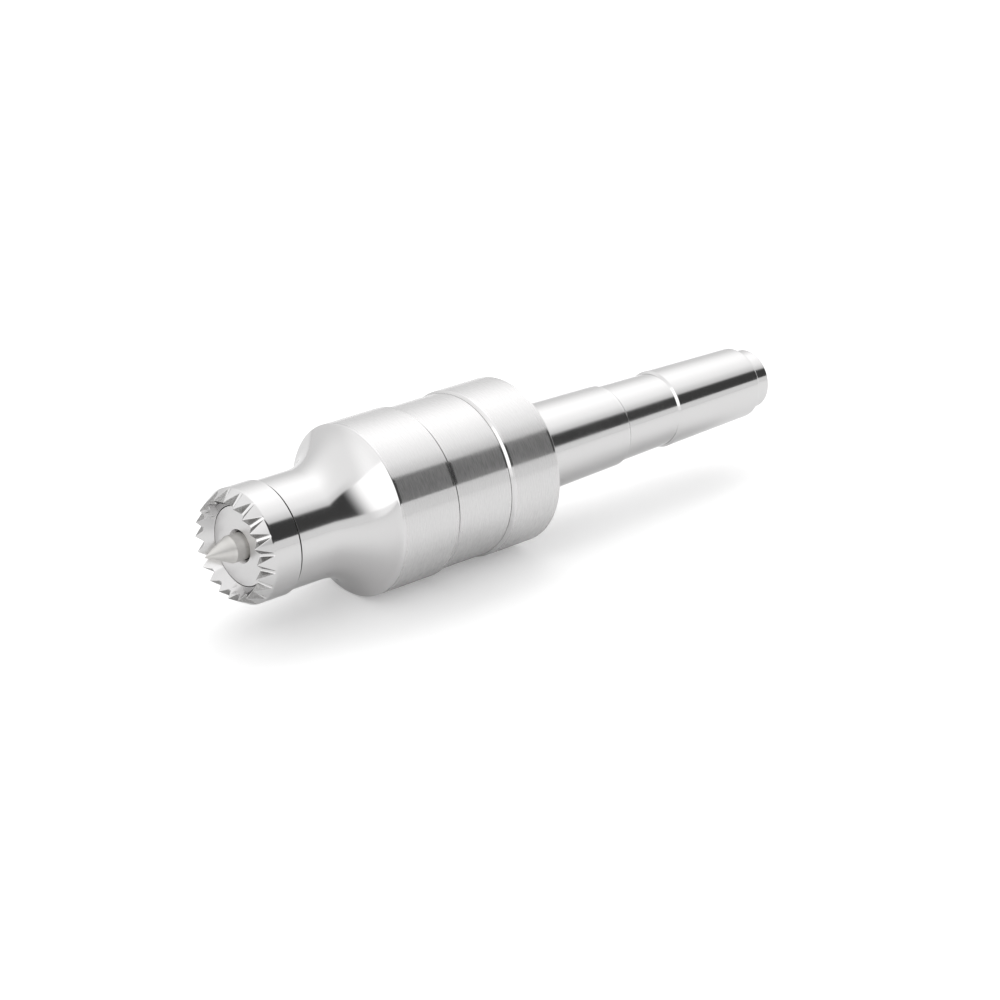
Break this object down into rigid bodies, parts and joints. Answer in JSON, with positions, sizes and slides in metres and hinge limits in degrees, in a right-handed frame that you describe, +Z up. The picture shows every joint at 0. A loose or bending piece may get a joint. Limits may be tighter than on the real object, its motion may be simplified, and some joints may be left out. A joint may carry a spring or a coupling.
{
  "type": "live center",
  "caption": "Revolving lathe centre with a toothed ring and a sprung centre point, turning on ball bearings in a collar on a self-holding taper shank.",
  "frame": {"origin": "centre of the collar's back face, where the taper shank begins", "axes": "+X along the spindle axis towards the shank's free end, so the work is at -X; +Z up"},
  "size_m": [0.1405, 0.0334, 0.0334],
  "materials": {
    "body_steel": "fine turned, bright",
    "crown_steel": "milled and hardened, bright",
    "point_steel": "ground, slightly warm grey",
    "bearing_steel": "ground and polished",
    "spring_steel": "drawn, dark",
    "screw_black": "black oxide",
    "cage_nylon": "moulded",
    "seal_rubber": "moulded",
    "seal_felt": "pressed felt"
  },
  "bodies": {
    "arbor": {"taper_arbor": "body_steel", "bearing_sleeve": "body_steel", "front_seal": "seal_felt", "outer_spacer": "body_steel", "front_bearing_outer_ring": "bearing_steel", "front_bearing_work_side_seal": "seal_rubber", "front_bearing_shank_side_seal": "seal_rubber", "rear_bearing_outer_ring": "bearing_steel", "rear_bearing_work_side_seal": "seal_rubber", "rear_bearing_shank_side_seal": "seal_rubber"},
    "head": {"nose_spindle": "body_steel", "crown_ring": "crown_steel", "point_grub_screw": "screw_black", "point_spring": "spring_steel", "circlip": "spring_steel", "inner_spacer": "body_steel", "front_bearing_inner_ring": "bearing_steel", "rear_bearing_inner_ring": "bearing_steel"},
    "point": {"center_point": "point_steel"},
    "front_balls": {"front_bearing_cage": "cage_nylon", "front_bearing_ball_1": "bearing_steel", "front_bearing_ball_2": "bearing_steel", "front_bearing_ball_3": "bearing_steel", "front_bearing_ball_4": "bearing_steel", "front_bearing_ball_5": "bearing_steel", "front_bearing_ball_6": "bearing_steel", "front_bearing_ball_7": "bearing_steel"},
    "rear_balls": {"rear_bearing_cage": "cage_nylon", "rear_bearing_ball_1": "bearing_steel", "rear_bearing_ball_2": "bearing_steel", "rear_bearing_ball_3": "bearing_steel", "rear_bearing_ball_4": "bearing_steel", "rear_bearing_ball_5": "bearing_steel", "rear_bearing_ball_6": "bearing_steel", "rear_bearing_ball_7": "bearing_steel"}
  },
  "joints": [
    {"name": "head_spin", "type": "hinge", "parent": "arbor", "child": "head", "pos_m": [0, 0, 0], "axis": [1, 0, 0], "continuous": true},
    {"name": "front_balls_spin", "type": "hinge", "parent": "arbor", "child": "front_balls", "pos_m": [0, 0, 0], "axis": [1, 0, 0], "continuous": true},
    {"name": "rear_balls_spin", "type": "hinge", "parent": "arbor", "child": "rear_balls", "pos_m": [0, 0, 0], "axis": [1, 0, 0], "continuous": true},
    {"name": "point_slide", "type": "slide", "parent": "head", "child": "point", "axis": [1, 0, 0], "range_m": [0, 0.00465], "stiffness_N_per_m": 2000, "springref_m": -0.003, "deforming": ["point_spring"]}
  ],
  "couplings": [
    {"joint": "front_balls_spin", "follows": "head_spin", "ratio": 0.36778},
    {"joint": "rear_balls_spin", "follows": "head_spin", "ratio": 0.36778}
  ]
}
